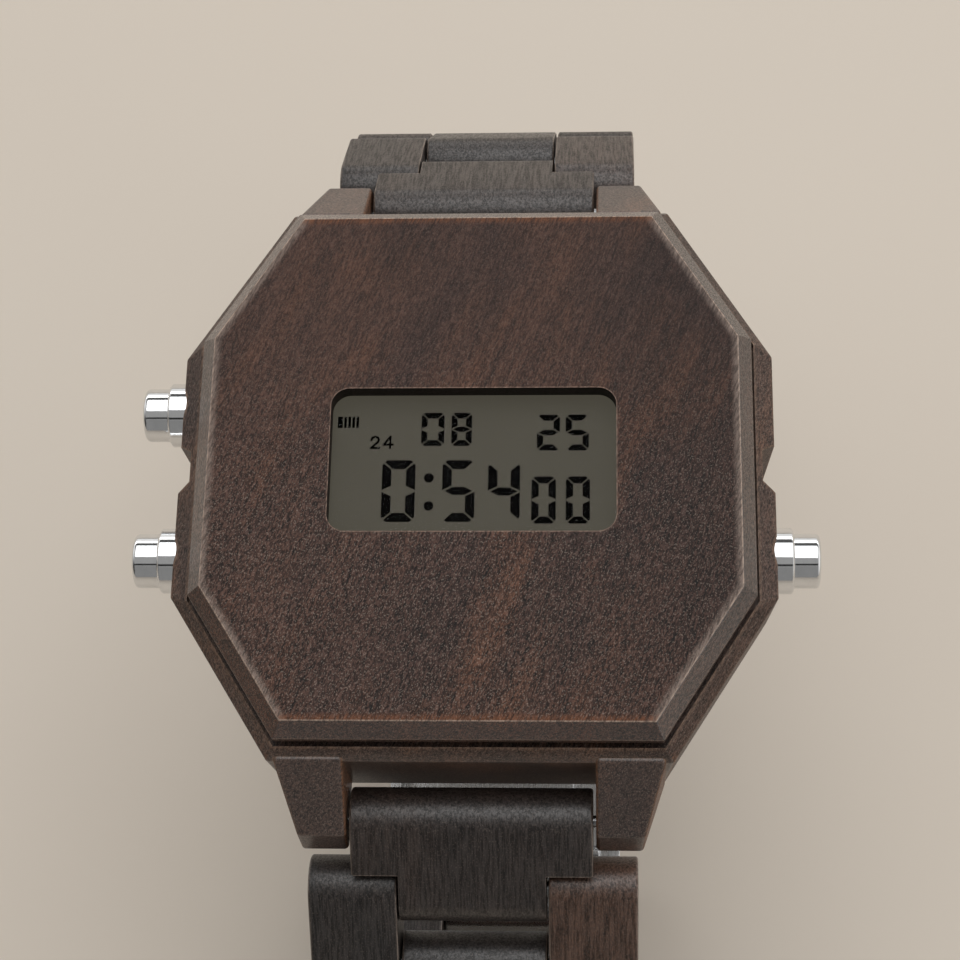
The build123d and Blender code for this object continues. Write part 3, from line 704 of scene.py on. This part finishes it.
# The small 24: points as shares of its height, and the left end of each figure
SMALL_TWO = [
    (0.0, 0.72), (0.08, 0.92), (0.3, 1.0), (0.54, 0.93),
    (0.62, 0.74), (0.54, 0.52), (0.0, 0.0), (0.66, 0.0),
]
SMALL_FOUR = [(0.54, 0.0), (0.54, 1.0), (0.0, 0.3), (0.74, 0.3)]
SMALL_FIGURES = [(SMALL_TWO, -7.1), (SMALL_FOUR, -6.24)]
SMALL_STROKE = 0.14
SMALL_LOW = 1.68
SMALL_HIGH = 0.82
COLON = [(-3.07, -0.53), (-3.05, -2.57)]
COLON_RADIUS = 0.34
COLON_AROUND = 16
CHARGE_BARS = [(-9.47, 0.34), (-9.03, 0.18), (-8.75, 0.18), (-8.47, 0.18), (-8.19, 0.18)]
CHARGE_Y = (3.18, 4.0)


def digit(sign, left, low, wide, high, stroke):
    """The lit segments of one digit, with cut corners, slanted ends and thin gaps."""
    gap = stroke * DIGIT_GAP
    cut = stroke * DIGIT_CUT
    bar = stroke * DIGIT_BAR
    middle = high / 2
    near = stroke + gap
    far = wide - stroke - gap
    shapes = {
        "a": [(2 * cut, high), (wide - 2 * cut, high), (wide - cut, high - 0.7 * cut),
              (far, high - stroke), (near, high - stroke), (cut, high - 0.7 * cut)],
        "b": [(wide, high - 2 * cut), (wide, middle + gap),
              (wide - stroke, middle + stroke / 2 + gap), (wide - stroke, high - stroke - gap),
              (wide - 0.7 * cut, high - cut - gap)],
        "g": [(cut, middle), (near, middle + bar), (far, middle + bar),
              (wide - cut, middle), (far, middle - bar), (near, middle - bar)],
    }
    shapes["d"] = [(x, high - y) for x, y in shapes["a"]]
    shapes["c"] = [(x, high - y) for x, y in shapes["b"]]
    shapes["e"] = [(wide - x, y) for x, y in shapes["c"]]
    shapes["f"] = [(wide - x, y) for x, y in shapes["b"]]
    return [[(left + x, low + y) for x, y in shapes[key]] for key in SEGMENTS[sign]]


def drawn(points, left, low, size):
    """A small figure as short strokes."""
    bars = []
    for (x0, y0), (x1, y1) in zip(points, points[1:]):
        run = Vector((x1 - x0, y1 - y0)).normalized() * SMALL_STROKE / 2
        ends = [(x0 * size - run.x, y0 * size - run.y), (x1 * size + run.x, y1 * size + run.y)]
        bar = [(x - run.y, y + run.x) for x, y in ends]
        bar += [(x + run.y, y - run.x) for x, y in reversed(ends)]
        bars.append([(left + x, low + y) for x, y in bar])
    return bars


def display_marks():
    outlines = [outline for entry in DIGITS for outline in digit(*entry)]
    for points, left in SMALL_FIGURES:
        outlines += drawn(points, left, SMALL_LOW, SMALL_HIGH)
    turns = [math.tau * step / COLON_AROUND for step in range(COLON_AROUND)]
    dot = [(COLON_RADIUS * math.cos(turn), COLON_RADIUS * math.sin(turn)) for turn in turns]
    for x, y in COLON:
        outlines.append([(x + along, y + up) for along, up in dot])
    low, high = CHARGE_Y
    for left, wide in CHARGE_BARS:
        outlines.append([(left, low), (left + wide, low), (left + wide, high), (left, high)])
    points = []
    faces = []
    for outline in outlines:
        area = sum(a[0] * b[1] - b[0] * a[1] for a, b in zip(outline, outline[1:] + outline[:1]))
        ring = outline if area > 0 else outline[::-1]
        count = len(ring)
        base = len(points)
        for lift in (INK_LIFT, INK_LIFT + INK_THICK):
            points += [(x * MM, y * MM, DISPLAY_TOP + lift * MM) for x, y in ring]
        faces.append([base + i for i in reversed(range(count))])
        faces.append([base + count + i for i in range(count)])
        for i in range(count):
            after = (i + 1) % count
            faces.append([base + i, base + after, base + count + after, base + count + i])
    mesh = bpy.data.meshes.new("display_marks")
    mesh.from_pydata(points, [], faces)
    mesh.materials.append(display_black)
    marks = bpy.data.objects.new("display_marks", mesh)
    bpy.context.scene.collection.objects.link(marks)
    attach(marks, "case")


display_marks()


# Stage: levels of the room's bands, and their edges in degrees from straight up to 12 o'clock

FLOOR_HALF = 3.0
LAMP_PLACE = Vector((0.03, 0.16, 0.46))
LAMP_SIZE = 0.42
LAMP_POWER = 1.15
ROOM_LEVEL = 0.35
ROOM_TINT = (1.0, 0.99, 0.97, 1.0)
WALL = (36, 42)
WALL_DIM = 0.25
HORIZON = (62, 68)
HORIZON_GLOW = 3.2
FRONT = (-41, -38)
FRONT_DIM = 0.1
GAP_STARTS = (-38, -36)
GAP_ENDS = (-31, -29)
GAP_DIM = 0.33
SIDES = (0.45, 0.85)
SIDE_LEVEL = 0.8
SIDE_RIGHT = 0.36
SIDE_BACK = 0.75
SIDE_TWIST = 0.6
SIDE_LEAST = 0.02
LOW = (0.22, 0.32)
LOW_MOST = 0.9


def stage():
    corners = [(-1, -1), (1, -1), (1, 1), (-1, 1)]
    mesh = bpy.data.meshes.new("floor")
    points = [(x * FLOOR_HALF, y * FLOOR_HALF, 0) for x, y in corners]
    mesh.from_pydata(points, [], [(0, 1, 2, 3)])
    floor = bpy.data.objects.new("floor", mesh)
    bpy.context.scene.collection.objects.link(floor)
    finish = Finish("floor_pale", Roughness=0.75)
    cloud = finish.noise((90, 90, 90))
    pale = cloud.mix(colour(218, 206, 192), colour(222, 212, 199))
    mesh.materials.append(finish.set(Base_Color=pale))


def surroundings():
    """A room in bands: a bright horizon at 12 o'clock, a dark wall over it, and a dim front."""
    world = bpy.data.worlds.new("studio")
    world.use_nodes = True
    wire = Wire(world.node_tree)
    way = wire.node("ShaderNodeTexCoord", out="Generated")
    across = way.axis("X")
    ahead = way.axis("Y")
    up = way.axis("Z")
    lean = wire.math("DEGREES", wire.math("ARCTAN2", ahead, up))
    gap = lean.between(*GAP_STARTS) * (1 - lean.between(*GAP_ENDS))
    level = ROOM_LEVEL - WALL_DIM * lean.between(*WALL) + HORIZON_GLOW * lean.between(*HORIZON)
    level = level - FRONT_DIM * (1 - lean.between(*FRONT)) - GAP_DIM * gap
    sides = SIDE_LEVEL + SIDE_RIGHT * across + SIDE_BACK * ahead - SIDE_TWIST * across * ahead
    sides = wire.math("MAXIMUM", sides, SIDE_LEAST)
    level = level + wire.math("ABSOLUTE", across).between(*SIDES) * (sides - level)
    # Low down, where a level view sees it, the room stays below white
    calm = wire.math("MINIMUM", level, LOW_MOST)
    level = calm + up.between(*LOW) * (level - calm)
    background = world.node_tree.nodes["Background"]
    world.node_tree.links.new(level.times(ROOM_TINT).socket, background.inputs["Color"])
    bpy.context.scene.world = world


def lamp():
    """A square soft lamp overhead, aimed at the face."""
    light = bpy.data.lights.new("overhead", "AREA")
    light.size = LAMP_SIZE
    light.energy = LAMP_POWER
    holder = bpy.data.objects.new("overhead", light)
    holder.location = LAMP_PLACE
    holder.visible_camera = False
    holder.rotation_euler = (FACE_MIDDLE - LAMP_PLACE).to_track_quat("-Z", "Y").to_euler()
    bpy.context.scene.collection.objects.link(holder)


# Camera, fitted to the photograph: turns in degrees, distances from the middle of the face

CAMERA_TILT = -21.13
CAMERA_YAW = -3.53
CAMERA_ROLL = -1.16
CAMERA_AWAY = Vector((0.53 * MM, -1.45 * MM, 155 * MM))
CAMERA_LENS = 86.4
CAMERA_SENSOR = 36
CAMERA_NEAREST = 10 * MM


def camera():
    roll = Matrix.Rotation(math.radians(CAMERA_ROLL), 3, "Z")
    tilt = Matrix.Rotation(math.radians(CAMERA_TILT), 3, "X")
    yaw = Matrix.Rotation(math.radians(CAMERA_YAW), 3, "Y")
    facing = (roll @ tilt @ yaw).transposed()
    data = bpy.data.cameras.new("camera")
    data.lens = CAMERA_LENS
    data.sensor_width = CAMERA_SENSOR
    data.clip_start = CAMERA_NEAREST
    view = bpy.data.objects.new("camera", data)
    place = FACE_MIDDLE + facing @ CAMERA_AWAY
    view.matrix_world = Matrix.Translation(place) @ facing.to_4x4()
    bpy.context.scene.collection.objects.link(view)
    bpy.context.scene.camera = view


stage()
surroundings()
lamp()
camera()
bpy.context.scene.view_settings.view_transform = "Standard"
